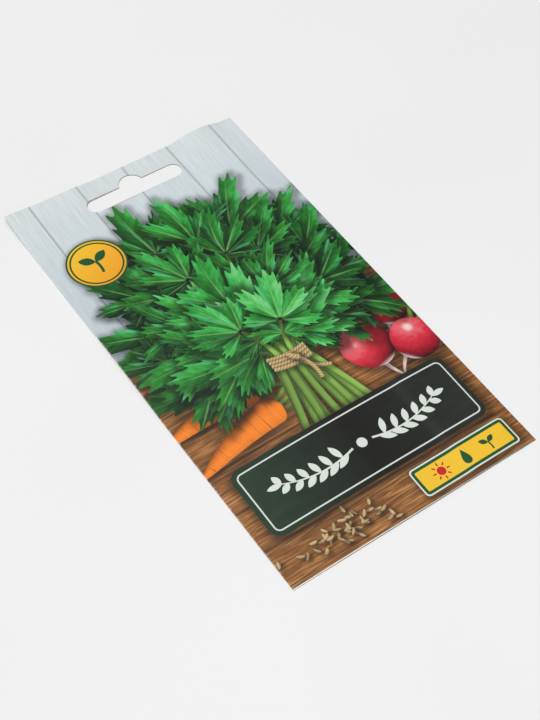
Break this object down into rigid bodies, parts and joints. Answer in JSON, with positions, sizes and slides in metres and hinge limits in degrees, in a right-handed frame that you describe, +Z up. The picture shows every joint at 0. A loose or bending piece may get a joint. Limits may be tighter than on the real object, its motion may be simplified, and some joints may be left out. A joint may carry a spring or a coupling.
{
  "type": "seed packet",
  "caption": "Flat sealed paper seed packet with folded sides, a lapped and glued back, a swollen pouch of seeds and a punched slot for hanging on a display hook.",
  "frame": {"origin": "on the table under the middle of the packet, which lies on its back", "axes": "+X across the packet to the reader's right, +Y along it towards the hanging slot, +Z up out of the printed front"},
  "size_m": [0.08, 0.145, 0.0023],
  "materials": {
    "printed_paper": "satin coated, printed in colour outside, white inside",
    "glue": "dried, pale",
    "seeds": "dry, ribbed"
  },
  "bodies": {
    "root": {"paper_sleeve": "printed_paper", "seam_glue": "glue", "bottom_glue": "glue", "top_glue": "glue", "seeds": "seeds"}
  },
  "joints": []
}
